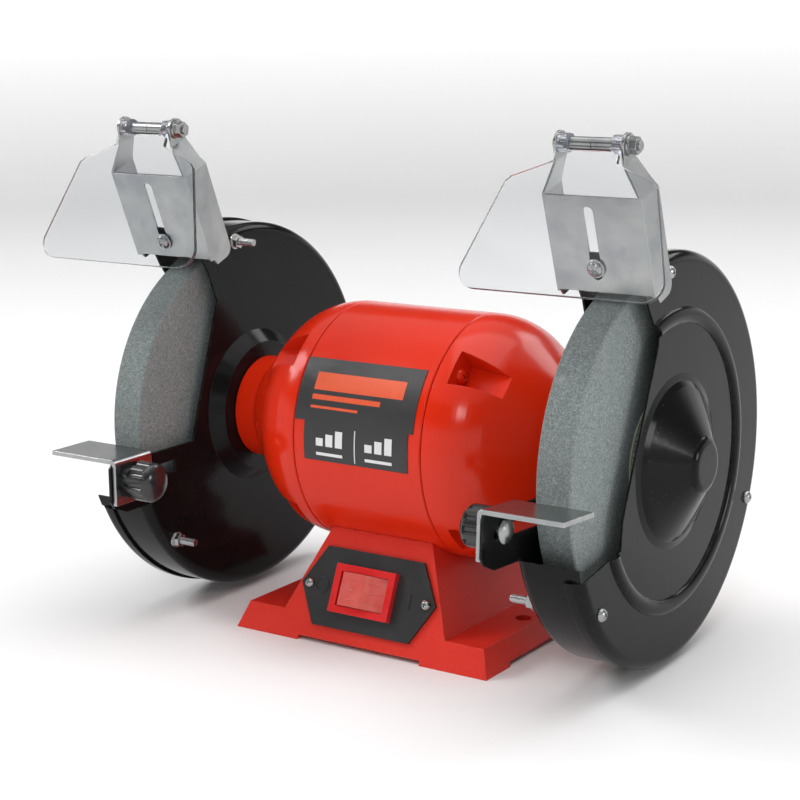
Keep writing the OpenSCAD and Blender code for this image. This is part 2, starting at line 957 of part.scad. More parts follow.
// The plate that carries the tool rest
module rest_ear(front) {
    polygon([
        [70, ear_top], [front - 2, ear_top], [front, ear_top - 2], [front, ear_foot + 8],
        [front - 3, ear_foot + 4], [front - 13, ear_foot], [80, ear_foot]
    ]);
}

module guard_pan(side) {
    slot_h = clamp_d + 2 * play;
    color(paint_black)
        difference() {
            union() {
                at_guard(side) {
                    difference() {
                        rotate_extrude($fn = 144)
                            pan_section();
                        translate([0, 0, hub_face - 1])
                            linear_extrude(100)
                                pan_mouth();
                        translate([0, 0, pan_face + guard_t])
                            linear_extrude(100)
                                band_mouth();
                        translate([0, 0, cover_face - guard_t - guard_bend + 1.5])
                            linear_extrude(20)
                                difference() {
                                    square(400, center = true);
                                    band_tongue();
                                }
                    }
                    translate([0, 0, pan_face])
                        linear_extrude(guard_t)
                            rest_ear(rest_front(side) + 1.5);
                }
                at_bracket(side)
                    translate([-tab_w / 2, tab_start, -bracket_t - play - guard_t])
                        cube([tab_w, bracket_screw_s + 7.5 - tab_start, guard_t]);
            }
            at_guard(side) {
                translate([slot_back, -clamp_drop - slot_h / 2, pan_face - 1])
                    cube([slot_front - slot_back, slot_h, guard_t + 2]);
                for (a = [0:90:270])
                    rotate([0, 0, a])
                        translate([neck_r - 6.5, 0, hub_face - 1])
                            cylinder(r = 2.5 + play, h = 5);
                for (a = guard_screw_angles)
                    rotate([0, 0, a])
                        translate([guard_screw_r, 0, pan_face - 1])
                            cylinder(d = guard_screw_d + 2 * play, h = 6);
            }
            at_bracket(side)
                translate([0, bracket_screw_s, -20])
                    cylinder(r = 2.5 + fit, h = 40);
        }
}

// Half section of the outer cover: dome, raised ring, disc and folded rim
module cover_section() {
    t = guard_t;
    nose_r = 6;
    rim_r = band_r + play + t;
    disc_r = rim_r - guard_bend;
    bend = [disc_r, cover_face - guard_bend];
    ring_arc = [for (i = [0:12]) let (a = i * 15)
        [ring_r - ring_w / 2 * cos(a), cover_face + ring_h * sin(a)]];
    ring_back = [for (i = [12:-1:0]) let (a = i * 15)
        [ring_r - ring_w / 2 * cos(a), cover_face - t + ring_h * sin(a)]];
    dome_top = cover_face + dome_h;
    polygon(concat(
        [[0, dome_top]],
        arc([nose_flat, dome_top - nose_r], nose_r, 90, 36, 6),
        [[dome_r - 5, cover_face + 3], [dome_r - 2, cover_face + 1], [dome_r + 2, cover_face]],
        ring_arc,
        arc(bend, guard_bend, 90, 0, 10),
        [[rim_r, cover_face - cover_rim], [rim_r - t, cover_face - cover_rim]],
        arc(bend, guard_bend - t, 0, 90, 10),
        ring_back,
        [[dome_r + 1.6, cover_face - t], [dome_r - 2.6, cover_face + 1 - t], [dome_r - 6, cover_face + 3 - t]],
        arc([nose_flat, dome_top - nose_r], nose_r - t, 36, 90, 6),
        [[0, dome_top - t]]
    ));
}

// The mouth of the outer cover, cut back further than the inner guard
module cover_mouth() {
    far = 200;
    polygon([
        cover_corner, [60, -22], [27.5, 64], [27, 71], [34.3, 77.8], [40.3, 85.6], [50.5, 103.5],
        [60, 120], [far, far], [far, -70], [105.2, -48.1]
    ]);
}

module guard_cover(side) {
    color(paint_black)
        at_guard(side)
            difference() {
                rotate_extrude($fn = 144)
                    cover_section();
                translate([0, 0, cover_face - 50])
                    linear_extrude(100)
                        cover_mouth();
                for (a = guard_screw_angles)
                    rotate([0, 0, a])
                        translate([guard_screw_r, 0, cover_face - 5])
                            cylinder(d = guard_screw_d + 2 * play, h = 10);
            }
}

module guard_mount_screws() {
    color(zinc)
        for (side = [-1, 1])
            at_guard(side)
                for (a = [0:90:270])
                    rotate([0, 0, a])
                        translate([neck_r - 6.5, 0, hub_face + guard_t])
                            pan_screw(5, 11, 4.4);
}

module guard_screws() {
    color(zinc)
        for (side = [-1, 1])
            at_guard(side)
                for (a = guard_screw_angles)
                    rotate([0, 0, a])
                        translate([guard_screw_r, 0, cover_face])
                            pan_screw(guard_screw_d, cover_face - pan_face + 15, 3.8);
}

module guard_nuts() {
    color(zinc)
        for (side = [-1, 1])
            at_guard(side)
                for (a = guard_screw_angles)
                    rotate([0, 0, a])
                        translate([guard_screw_r, 0, pan_face]) {
                            translate([0, 0, -1])
                                tube(4.6, guard_screw_d / 2 + fit, 1);
                            translate([0, 0, -1 - nut_t])
                                hex_nut(7, guard_screw_d + 2 * fit, nut_t);
                        }
}

// ---------------------------------------------------------------- tool rests

// The rest and its bolt, drawn with z = 0 on the face of the guard that looks at the motor
module at_ear(side) {
    at_guard(side)
        translate([clamp_u, -clamp_drop, pan_face])
            children();
}

module tool_rest(side) {
    back = rest_front(side) - rest_depth - clamp_u;
    top = clamp_drop - rest_drop;
    bend = 3;
    slot_half = 9.2;
    color(steel)
        at_ear(side)
            difference() {
                translate([back, 0, -play - rest_t])
                    rotate([0, 90, 0])
                        rotate([0, 0, 90])
                            linear_extrude(rest_depth)
                                rest_profile(top, bend);
                translate([back + rest_depth / 2, 0, -10])
                    linear_extrude(20)
                        slot_outline(slot_half, clamp_d / 2 + play);
            }
}

// End view of a rest: x runs up, y runs outward from the face of the leg
module rest_profile(top, bend) {
    polygon(concat(
        [[top - rest_leg, 0]],
        arc([top - bend, bend], bend, -90, 0, 6),
        [[top, rest_len], [top - rest_t, rest_len]],
        arc([top - bend, bend], bend - rest_t, 0, -90, 6),
        [[top - rest_leg, rest_t]]
    ));
}

module slot_outline(half, r) {
    for (s = [-1, 1])
        translate([s * (half - r), 0])
            circle(r = r, $fn = 32);
    square([2 * (half - r), 2 * r], center = true);
}

module clamp_bolt(side) {
    neck = clamp_d;
    head_r = clamp_d * 1.15;
    color(zinc)
        at_ear(side) {
            translate([0, 0, -play - rest_t - knob_len + 4])
                cylinder(d = clamp_d, h = knob_len + rest_t + play - 4);
            translate([-neck / 2, -neck / 2, 0])
                cube([neck, neck, guard_t + play]);
            translate([0, 0, guard_t + play])
                rotate_extrude()
                    polygon(concat([[0, 0]],
                        [for (p = arc([0, 0], 1, 0, 90, 8)) [head_r * p[0], 3.2 * p[1]]]));
        }
}

module clamp_knob(side) {
    r = knob_d / 2;
    skirt = 4;
    color(plastic_black)
        at_ear(side)
            translate([0, 0, -2 * play - rest_t])
                mirror([0, 0, 1])
                    difference() {
                        rotate_extrude($fn = 96)
                            polygon(concat(
                                [[0, 0], [r * 0.62, 0], [r * 0.66, skirt - 1], [r, skirt]],
                                [[r, knob_len - 6]],
                                [for (p = arc([0, 0], 1, 10, 90, 10)) [r * p[0], knob_len - 6 + 6 * p[1]]]
                            ));
                        for (i = [0:knob_flutes - 1])
                            rotate([0, 0, i * 360 / knob_flutes])
                                translate([r + 1.2, 0, -1])
                                    cylinder(r = 2.6, h = knob_len - 4);
                        translate([0, 0, -1])
                            cylinder(d = clamp_d + 2 * play, h = knob_len - 2);
                    }
}

// ---------------------------------------------------------------- eye shields

// One edge of the bracket seen from the front, on the side where the plate reaches out by w
function bracket_edge(w) =
    let (e = ear_span / 2 + bracket_t, top = hinge_rise + ear_end_r + 1)
    [[w, -bracket_drop - 1], [w, bracket_h], [e, hinge_rise - ear_end_r - 1], [e, top]];

// One side of the bracket seen from the front
module bracket_flank(w) {
    edge = bracket_edge(w);
    polygon(concat(edge, [for (i = [3:-1:0]) [edge[i][0] - bracket_t, edge[i][1]]]));
}

// Both sides of the bracket; the plate is wider on the side of the hinge nut
module bracket_front_view() {
    bracket_flank(bracket_w / 2 + bracket_lean);
    mirror([1, 0])
        bracket_flank(bracket_w / 2 - bracket_lean);
}

// Side view of the bracket's sides: x runs to the front, y up the plate
module bracket_side_view() {
    foot_r = 6;
    polygon(concat(
        [[0, -1], [0, bracket_h + 1], [-hinge_back + ear_end_r + 1.5, hinge_rise - ear_end_r - 2]],
        arc([-hinge_back, hinge_rise], ear_end_r, 0, 180, 12),
        [[-bracket_side, bracket_h + 4]],
        arc([-bracket_side + foot_r, -bracket_drop + foot_r], foot_r, 180, 270, 6),
        [[-4, -bracket_drop], [-2, -1]]
    ));
}

module shield_bracket(side) {
    slot_low = bracket_screw_s - 5;
    slot_top = bracket_h - 5.5;
    color(zinc)
        at_raised_bracket(side)
            mirror([side < 0 ? 0 : 1, 0, 0])
            difference() {
                union() {
                    translate([-bracket_w / 2 + bracket_lean, 0, -bracket_t])
                        cube([bracket_w, bracket_h, bracket_t]);
                    intersection() {
                        translate([0, 0, -50])
                            linear_extrude(100)
                                bracket_front_view();
                        rotate([0, -90, 0])
                            linear_extrude(200, center = true)
                                bracket_side_view();
                    }
                }
                translate([0, (slot_low + slot_top) / 2, -5])
                    rotate([0, 0, 90])
                        linear_extrude(10)
                            slot_outline((slot_top - slot_low) / 2, bracket_slot_w / 2);
                translate([0, hinge_rise, -hinge_back])
                    rotate([0, 90, 0])
                        cylinder(d = hinge_d + 2 * fit, h = 200, center = true);
            }
}

module bracket_screws() {
    color(zinc)
        for (side = [-1, 1])
            at_bracket(side)
                translate([0, bracket_screw_s, play]) {
                    tube(5.2, 2.5 + fit, 1);
                    translate([0, 0, 1])
                        pan_screw(5, 14, 4.4);
                }
}

module bracket_nuts() {
    color(zinc)
        for (side = [-1, 1])
            at_bracket(side)
                translate([0, bracket_screw_s, -bracket_t - play - guard_t - 4])
                    hex_nut(8, 5 + 2 * fit, 4);
}

// Places its children on a hinge: +X along the shaft, +Y up the shield, +Z to its front
module at_hinge(side) {
    at_raised_bracket(side)
        translate([0, hinge_rise, -hinge_back])
            rotate([-bracket_slope - shield_slope, 0, 0])
                children();
}

// Outline of the shield below its hinge
module shield_outline() {
    neck = ear_span / 2 - play;
    foot = shield_w / 2;
    shoulder = shoulder_w / 2;
    lower = arc([foot - corner_r - 1, -shield_h + corner_r], corner_r, 8, -90, 10);
    half = concat([[neck, 3], [neck, -12], [neck + 2, -13], [shoulder - 3, -21], [shoulder, -24]], lower);
    polygon(both_halves(half));
}

module eye_shield(side) {
    eye_out = ear_span / 2 - play;
    color([0.85, 0.92, 0.95, 0.5])
        at_hinge(side)
            difference() {
                union() {
                    translate([0, 0, shield_stand - shield_t])
                        linear_extrude(shield_t)
                            shield_outline();
                    for (s = [-1, 1])
                        translate([s * (eye_out - eye_w / 2), 0, 0])
                            rotate([0, 90, 0])
                                cylinder(r = eye_r, h = eye_w, center = true);
                }
                rotate([0, 90, 0])
                    cylinder(d = hinge_d + 0.16, h = 200, center = true);
                translate([-eye_out + eye_w, -eye_r - 0.6, -eye_r - 1])
                    cube([2 * (eye_out - eye_w), 20, 20]);
            }
}

// Both hinge bolts point the same way along the shaft, with their nuts on the right
module at_hinge_bolt(side) {
    at_raised_bracket(side)
        translate([0, hinge_rise, -hinge_back])
            rotate([0, -side * 90, 0])
                children();
}

module hinge_bolt(side) {
    head = ear_span / 2 + bracket_t;
    color(zinc)
        at_hinge_bolt(side)
            mirror([0, 0, 1])
                translate([0, 0, head])
                    pan_screw(hinge_d, 2 * head + 6.8, 4.8);
}

module hinge_nut(side) {
    seat = ear_span / 2 + bracket_t;
    color(zinc)
        at_hinge_bolt(side)
            translate([0, 0, seat]) {
                tube(5.4, hinge_d / 2 + fit, 1.4);
                translate([0, 0, 1.4])
                    hex_nut(8, hinge_d + 2 * fit, 4);
            }
}

module hinge_sleeves(side) {
    reach = ear_span / 2 - play - eye_w - play;
    color(zinc)
        at_hinge_bolt(side)
            for (s = [-1, 1])
                translate([0, 0, s > 0 ? 0.2 : -reach])
                    tube(sleeve_r, hinge_d / 2 + fit, reach - 0.2);
}

// ---------------------------------------------------------------- switch

module switch_plate() {
    half = switch_plate_len / 2;
    flat = switch_plate_flat / 2;
    h = switch_plate_h / 2;
    color(plastic_black)
        on_front()
            translate([0, switch_rise, 0])
                difference() {
                    linear_extrude(switch_plate_t)
                        polygon([[-half, 0], [-flat, -h], [flat, -h], [half, 0], [flat, h], [-flat, h]]);
                    translate([-switch_offset - switch_len / 2 + 2.4, -switch_h / 2 + 2.4, -1])
                        cube([switch_len - 4.8, switch_h - 4.8, 10]);
                    for (sx = [-1, 1])
                        translate([sx * switch_screw_span / 2, 0, -1])
                            cylinder(r = 1.5 + play, h = 10);
                }
}

module switch_plate_screws() {
    color(zinc)
        on_front()
            for (sx = [-1, 1])
                translate([sx * switch_screw_span / 2, switch_rise, switch_plate_t])
                    pan_screw(3, 12, 3.2);
}

module at_switch() {
    on_front()
        translate([-switch_offset, switch_rise, switch_plate_t])
            children();
}

module switch_frame() {
    depth = 24;
    color([0.75, 0.06, 0.05])
        at_switch()
            difference() {
                union() {
                    translate([-switch_len / 2, -switch_h / 2, 0])
                        cube([switch_len, switch_h, switch_proud]);
                    translate([-body_l / 2, -body_h / 2, -depth])
                        cube([body_l, body_h, depth + 1]);
                }
                translate([-body_l / 2 + body_wall, -body_h / 2 + body_wall, -depth + 8])
                    cube([body_l - 2 * body_wall, body_h - 2 * body_wall, depth + 20]);
                translate([0, 0, rocker_pivot])
                    rotate([90, 0, 0])
                        cylinder(r = rocker_pin_r + 0.05, h = body_h + 2, center = true);
            }
}

module switch_rocker() {
    half = body_l / 2 - body_wall - 3 * play;
    wide = body_h - 2 * body_wall - 2 * play;
    color([0.85, 0.12, 0.08, 0.8])
        at_switch()
            translate([0, 0, rocker_pivot])
                rotate([0, rocker_tilt, 0])
                    union() {
                        rotate([90, 0, 0])
                            linear_extrude(wide, center = true)
                                polygon([
                                    [-half, -4], [half, -4], [half, 5.4], [half - 0.8, 6.2],
                                    [0, 10], [-half + 0.8, 6.2], [-half, 5.4]
                                ]);
                        rotate([90, 0, 0])
                            cylinder(r = rocker_pin_r, h = body_h - 0.4, center = true);
                    }
}

// ---------------------------------------------------------------- inside the base

module capacitor() {
    r = 15;
    length = 54;
    color([0.88, 0.88, 0.86])
        translate([10, 35, bottom_plate_z + bottom_plate_t + r])
            rotate([0, 90, 0])
                union() {
                    cylinder(r = r, h = length, center = true);
                    for (s = [-5, 5])
                        translate([0, s, length / 2 - 1])
                            cylinder(r = 1.2, h = 5);
                }
}

module terminal_block() {
    length = 36;
    depth = 14;
    height = 12;
    color([0.90, 0.88, 0.82])
        translate([-46, -12, bottom_plate_z + bottom_plate_t])
            difference() {
                cube([length, depth, height]);
                for (i = [0:2])
                    translate([6 + i * 12, depth / 2, height - 6])
                        cylinder(r = 3, h = 10);
                for (i = [0:2])
                    translate([6 + i * 12, -1, 4])
                        rotate([-90, 0, 0])
                            cylinder(r = 1.6, h = depth + 2);
            }
}

module cable_gland() {
    color(plastic_black)
        on_back()
            difference() {
                union() {
                    translate([0, 0, -base_wall - 7])
                        cylinder(r = gland_hole_r - fit, h = base_wall + 8);
                    cylinder(d = 24 / cos(30), h = 5, $fn = 6);
                    translate([0, 0, 4])
                        cylinder(r1 = 11, r2 = 8, h = 8);
                }
                translate([0, 0, -30])
                    cylinder(d = gland_bore, h = 60);
            }
}

module gland_nut() {
    color(plastic_black)
        on_back()
            translate([0, 0, -base_wall - 4.6])
                hex_nut(21, 2 * gland_hole_r + 2 * fit, 4.5);
}

// A wire made of straight runs with round corners
module wire(points, r) {
    for (i = [0:len(points) - 2])
        let (a = points[i], d = points[i + 1] - points[i], l = norm(d))
            translate(a)
                rotate([0, acos(d[2] / l), atan2(d[1], d[0])])
                    cylinder(r = r, h = l, $fn = 24);
    for (i = [1:len(points) - 2])
        translate(points[i])
            sphere(r = r * 1.2, $fn = 24);
}

module wiring() {
    z = bottom_plate_z + bottom_plate_t + 4;
    r = 1.3;
    start = 2.2;
    color([0.15, 0.25, 0.6])
        wire([[-40, start, z], [-40, 30, z], [gland_x, 48, gland_z - 2]], r);
    color([0.6, 0.1, 0.1])
        wire([[-16, start, z], [-16, 6, z], [-4, 4, z + 5], [-4, -26.5, z + 12]], r);
    color([0.1, 0.1, 0.1])
        wire([
            [-28, start, z], [-28, 11, z], [wire_x, 10, 24], [wire_x, shaft_back, 40],
            [wire_x, shaft_back, axis_h - 52.5]
        ], r);
}

module label_plate() {
    lift = 0.45;
    color([0.2, 0.2, 0.21])
        translate([0, shaft_back, axis_h])
            rotate([0, 90, 0])
                difference() {
                    rotate([0, 0, 229])
                        rotate_extrude(angle = 48, $fn = 128)
                            translate([motor_r, -42])
                                square([lift, 80]);
                    for (z = [-75, 35])
                        rotate([0, 0, 259])
                            translate([motor_r - 20, 0, z])
                                cube([40, 60, 40]);
                }
}

base();
bottom_plate();
bottom_plate_screws();
motor_mount_screws();
motor_shell();
end_bell(-1);  // left_end_bell
end_bell(1);  // right_end_bell
tie_bolts();
tie_bolt_nuts();
stator_core();
stator_windings();
bearing_outer_rings();
bearing_inner_rings();
bearing_balls();
rotor_core();
rotor_end_rings();
shaft();
grinding_wheel(-1);  // left_wheel
grinding_wheel(1);  // right_wheel
wheel_bushes();
inner_wheel_flanges();
outer_wheel_flanges();
blotters();
arbor_nuts();
guard_pan(-1);  // left_guard_pan
guard_pan(1);  // right_guard_pan
guard_cover(-1);  // left_guard_cover
guard_cover(1);  // right_guard_cover
guard_mount_screws();
guard_screws();
guard_nuts();
tool_rest(-1);  // left_tool_rest
tool_rest(1);  // right_tool_rest
clamp_bolt(-1);  // left_clamp_bolt
clamp_bolt(1);  // right_clamp_bolt
clamp_knob(-1);  // left_clamp_knob
clamp_knob(1);  // right_clamp_knob
shield_bracket(-1);  // left_shield_bracket
shield_bracket(1);  // right_shield_bracket
bracket_screws();
bracket_nuts();
eye_shield(-1);  // left_eye_shield
eye_shield(1);  // right_eye_shield
hinge_bolt(-1);  // left_hinge_bolt
hinge_bolt(1);  // right_hinge_bolt
hinge_nut(-1);  // left_hinge_nut
hinge_nut(1);  // right_hinge_nut
hinge_sleeves(-1);  // left_hinge_sleeves
hinge_sleeves(1);  // right_hinge_sleeves
switch_plate();
switch_plate_screws();
switch_frame();
switch_rocker();
capacitor();
terminal_block();
cable_gland();
gland_nut();
wiring();
label_plate();
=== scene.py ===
import json
import math

import bmesh
import bpy
from mathutils import Matrix, Vector


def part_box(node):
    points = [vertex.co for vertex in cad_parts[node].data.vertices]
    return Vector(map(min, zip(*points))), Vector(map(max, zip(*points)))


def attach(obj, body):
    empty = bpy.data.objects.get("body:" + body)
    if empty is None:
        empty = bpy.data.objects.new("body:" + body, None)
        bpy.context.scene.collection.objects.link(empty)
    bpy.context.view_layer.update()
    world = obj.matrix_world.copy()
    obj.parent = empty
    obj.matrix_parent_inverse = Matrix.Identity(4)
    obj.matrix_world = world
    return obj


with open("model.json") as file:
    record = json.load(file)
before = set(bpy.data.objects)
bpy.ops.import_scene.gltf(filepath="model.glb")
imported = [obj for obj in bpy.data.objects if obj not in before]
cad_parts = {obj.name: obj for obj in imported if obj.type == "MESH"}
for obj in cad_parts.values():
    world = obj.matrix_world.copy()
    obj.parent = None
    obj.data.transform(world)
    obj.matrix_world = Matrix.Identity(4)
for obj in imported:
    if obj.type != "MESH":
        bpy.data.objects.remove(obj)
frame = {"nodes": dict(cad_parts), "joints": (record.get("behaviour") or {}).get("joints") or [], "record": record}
nodes = frame["nodes"]
record = frame["record"]
joints = {j["name"]: j for j in frame["joints"]}
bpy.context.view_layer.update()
scene = bpy.context.scene

# The shaft's axis, and the switch's own directions, as the frame gives them
AXIS = Vector(joints["rotor_spin"]["pos_m"])
PIVOT = Vector(joints["switch_rock"]["pos_m"])
UP = Vector(joints["switch_rock"]["axis"]).normalized()
OUT = Vector((1, 0, 0)).cross(UP)


# The bevel shader's rays for each point, and how fast a sharp edge's mask rises
BEVEL_SAMPLES = 4
EDGE_GAIN = 6.0

# How far the clear shields lean back at rest, in degrees
SHIELD_LEAN = 22


# ---------------------------------------------------------------- node building

def feed(tree, socket, value):
    """Links a node's output to a socket, or sets the socket to a plain value."""
    if isinstance(value, bpy.types.NodeSocket):
        tree.links.new(value, socket)
    else:
        socket.default_value = value


def add(tree, kind, inputs=None, **props):
    """Adds a shader node, sets its properties, and sets or links its inputs."""
    made = tree.nodes.new(kind)
    for key, value in props.items():
        setattr(made, key, value)
    for key, value in (inputs or {}).items():
        feed(tree, made.inputs[key], value)
    return made


def rgb(r, g, b):
    """An opaque colour."""
    return (r, g, b, 1.0)


def object_normal(tree):
    """The surface's direction in the object's own frame."""
    return add(tree, "ShaderNodeTexCoord").outputs["Normal"]


def rounded_normal(tree, radius):
    """The surface's direction, with its sharp edges rounded off."""
    bevel = add(tree, "ShaderNodeBevel", {"Radius": radius}, samples=BEVEL_SAMPLES)
    return bevel.outputs["Normal"]


class Finish:
    """One procedural material, with the object's own coordinates in metres."""

    def __init__(self, name):
        self.mat = bpy.data.materials.new(name)
        self.mat.use_nodes = True
        self.tree = self.mat.node_tree
        self.bsdf = self.tree.nodes["Principled BSDF"]
        self.coords = add(self.tree, "ShaderNodeTexCoord").outputs["Object"]

    def stretched(self, x, y, z, move=(0, 0, 0)):
        """The object's coordinates, scaled along each axis and moved."""
        return add(self.tree, "ShaderNodeMapping",
                   {"Vector": self.coords, "Scale": (x, y, z), "Location": move}).outputs["Vector"]

    def noise(self, per_metre, detail=3.0, rough=0.55, vector=None):
        """Soft noise about 0.5, with its scale as features in a metre."""
        return add(self.tree, "ShaderNodeTexNoise",
                   {"Vector": vector or self.coords, "Scale": per_metre, "Detail": detail,
                    "Roughness": rough}).outputs["Fac"]

    def cells(self, per_metre, feature="F1"):
        """The distance to the nearest of many scattered points."""
        made = add(self.tree, "ShaderNodeTexVoronoi",
                   {"Vector": self.coords, "Scale": per_metre}, feature=feature)
        return made.outputs["Distance"]

    def span(self, value, low, high, out_low=0.0, out_high=1.0):
        """Maps low to high onto out_low to out_high, and holds it there outside them."""
        return add(self.tree, "ShaderNodeMapRange",
                   {"Value": value, "From Min": low, "From Max": high,
                    "To Min": out_low, "To Max": out_high}).outputs["Result"]

    def rings(self, per_metre, **more):
        """Rings round the shaft."""
        place = self.stretched(1, 1, 1, (-AXIS.x, -AXIS.y, -AXIS.z))
        return add(self.tree, "ShaderNodeTexWave", {"Vector": place, "Scale": per_metre, **more},
                   wave_type="RINGS", rings_direction="X").outputs["Fac"]

    def math(self, operation, a, b=0.0):
        made = add(self.tree, "ShaderNodeMath", operation=operation)
        for socket, value in zip(made.inputs, (a, b)):
            feed(self.tree, socket, value)
        return made.outputs[0]

    def mix(self, factor, a, b):
        """Colour a where factor is 0, colour b where it is 1."""
        made = add(self.tree, "ShaderNodeMix", data_type="RGBA")
        for key, value in (("Factor_Float", factor), ("A_Color", a), ("B_Color", b)):
            feed(self.tree, next(s for s in made.inputs if s.identifier == key), value)
        return next(s for s in made.outputs if s.identifier == "Result_Color")

    def blotch(self, tone, mask, amount, colour):
        """Lays a colour over a tone where a mask is high, at part of its strength."""
        return self.mix(self.math("MULTIPLY", mask, amount), tone, colour)

    def wear_and_highlight_edges(self, radius, per_metre, detail, low, high):
        """Sharp outer edges, broken up by noise: a mask for edge wear on the red enamel and for painted edge
        highlights on the other finishes.
        """
        return self.math("MULTIPLY", self.edges(radius),
                         self.span(self.noise(per_metre, detail), low, high))

    def ramp(self, value, *stops):
        """Colours at places between 0 and 1."""
        made = add(self.tree, "ShaderNodeValToRGB", {"Fac": value})
        elements = made.color_ramp.elements
        while len(elements) < len(stops):
            elements.new(0.5)
        for element, (place, colour) in zip(elements, stops):
            element.position = place
            element.color = colour
        return made.outputs["Color"]

    def edges(self, radius):
        """How close a point is to a sharp edge, from 0 to 1."""
        flat = add(self.tree, "ShaderNodeNewGeometry").outputs["Normal"]
        soft = rounded_normal(self.tree, radius)
        dot = add(self.tree, "ShaderNodeVectorMath", {0: soft, 1: flat},
                  operation="DOT_PRODUCT").outputs["Value"]
        return self.span(dot, 1.0, 1.0 - 1.0 / EDGE_GAIN)

    def set(self, **values):
        """Sets or links the shader's sockets, by their names with underscores."""
        for key, value in values.items():
            feed(self.tree, self.bsdf.inputs[key.replace("_", " ")], value)

    def bump(self, height, strength, distance, round_edge=0.0):
        """Raises the surface by a height map, with its sharp edges rounded off."""
        values = {"Height": height, "Strength": strength, "Distance": distance}
        if round_edge:
            values["Normal"] = rounded_normal(self.tree, round_edge)
        made = add(self.tree, "ShaderNodeBump", values)
        self.set(Normal=made.outputs["Normal"])
        if self.bsdf.inputs["Coat Weight"].default_value > 0:
            self.tree.links.new(made.outputs["Normal"], self.bsdf.inputs["Coat Normal"])


# ---------------------------------------------------------------- finishes

def red_enamel():
    """Glossy red paint with a little dust in it and chipped edges."""
    f = Finish("red_enamel")
    tone = f.mix(f.noise(26, 4), rgb(0.66, 0.020, 0.003), rgb(0.74, 0.027, 0.005))
    dust = f.span(f.cells(420), 0.055, 0.03)
    edge_wear_and_highlight = f.wear_and_highlight_edges(0.0007, 300, 2, 0.48, 0.62)
    tone = f.blotch(tone, dust, 0.35, rgb(0.85, 0.30, 0.22))
    tone = f.blotch(tone, edge_wear_and_highlight, 0.45, rgb(0.42, 0.020, 0.008))
    f.set(Base_Color=tone, Roughness=f.span(f.noise(55, 5), 0.3, 0.7, 0.16, 0.24),
          Specular_IOR_Level=0.26, Coat_Weight=0.08, Coat_Roughness=0.04)
    f.bump(f.noise(420, 1), 0.035, 0.0002, 0.0006)
    return f.mat


def textured_red_paint():
    """Satin red paint with a fine leather grain, and paler sharp edges that are a painted highlight."""
    f = Finish("textured_red_paint")
    grain = f.noise(1150, 3, 0.6)
    tone = f.mix(f.noise(40, 4), rgb(0.64, 0.020, 0.010), rgb(0.73, 0.033, 0.017))
    tone = f.mix(f.span(grain, 0.58, 0.72, 0, 0.35), tone, rgb(0.90, 0.14, 0.10))
    edge_wear_and_highlight = f.wear_and_highlight_edges(0.0012, 260, 3, 0.42, 0.58)
    # Painted highlight: the sharp edges are made paler red.
    tone = f.blotch(tone, edge_wear_and_highlight, 0.5, rgb(0.92, 0.16, 0.11))
    f.set(Base_Color=tone, Roughness=f.span(grain, 0.3, 0.7, 0.34, 0.52),
          Specular_IOR_Level=0.3)
    f.bump(f.math("ADD", grain, f.cells(900, feature="SMOOTH_F1")), 0.16, 0.0003, 0.0010)
    return f.mat


def black_enamel():
    """Glossy black paint on pressed sheet, slightly wavy and dusty."""
    f = Finish("black_enamel")
    tone = f.mix(f.noise(35, 4), rgb(0.004, 0.004, 0.005), rgb(0.009, 0.009, 0.009))
    dusty = f.span(f.noise(24, 3), 0.42, 0.6)
    dust = f.math("MULTIPLY", f.span(f.cells(330), 0.075, 0.04), dusty)
    tone = f.blotch(tone, dust, 0.6, rgb(0.30, 0.29, 0.28))
    # Painted highlight: the sharp edges are made a lighter grey.
    edge_wear_and_highlight = f.wear_and_highlight_edges(0.0006, 240, 3, 0.40, 0.60)
    tone = f.blotch(tone, edge_wear_and_highlight, 0.5, rgb(0.14, 0.13, 0.13))
    f.set(Base_Color=tone, Roughness=f.span(f.noise(48, 5), 0.3, 0.7, 0.09, 0.17),
          Specular_IOR_Level=0.13)
    waves = f.math("MULTIPLY", f.noise(42, 1), 2.5)
    f.bump(f.math("ADD", f.noise(300, 1), waves), 0.06, 0.0004, 0.0005)
    return f.mat


def zinc_plate():
    """Bright zinc on rolled sheet, with soft clouds, fine specks and painted highlights on its sharp edges."""
    f = Finish("zinc_plate")
    streaks = f.noise(420, 3, 0.5, f.stretched(0.35, 5, 5))
    cloud = f.noise(70, 3)
    tone = f.ramp(cloud, (0.3, rgb(0.30, 0.31, 0.32)), (0.5, rgb(0.36, 0.37, 0.37)),
                  (0.72, rgb(0.42, 0.42, 0.41)))
    specks = f.span(f.noise(1400, 2), 0.66, 0.74)
    tone = f.blotch(tone, specks, 0.25, rgb(0.27, 0.27, 0.28))
    # Painted highlight: the sharp edges are made a bright pale grey.
    tone = f.blotch(tone, f.edges(0.0004), 0.6, rgb(0.85, 0.85, 0.84))
    f.set(Base_Color=tone, Metallic=1.0, Roughness=f.span(streaks, 0.3, 0.7, 0.26, 0.272))
    f.bump(specks, 0.01, 0.0001, 0.0004)
    return f.mat


def turned_steel():
    """Steel with the turning's rings and a trace of rust."""
    f = Finish("bright_steel")
    rings = f.rings(420.0, Distortion=1.2, Detail=2.0)
    tone = f.mix(f.noise(90, 4), rgb(0.50, 0.50, 0.51), rgb(0.66, 0.66, 0.66))
    tone = f.mix(f.span(f.noise(330, 4), 0.62, 0.74, 0, 0.35), tone, rgb(0.33, 0.24, 0.17))
    f.set(Base_Color=tone, Metallic=1.0, Roughness=f.span(rings, 0, 1, 0.22, 0.36))
    f.bump(rings, 0.10, 0.0002, 0.0004)
    return f.mat


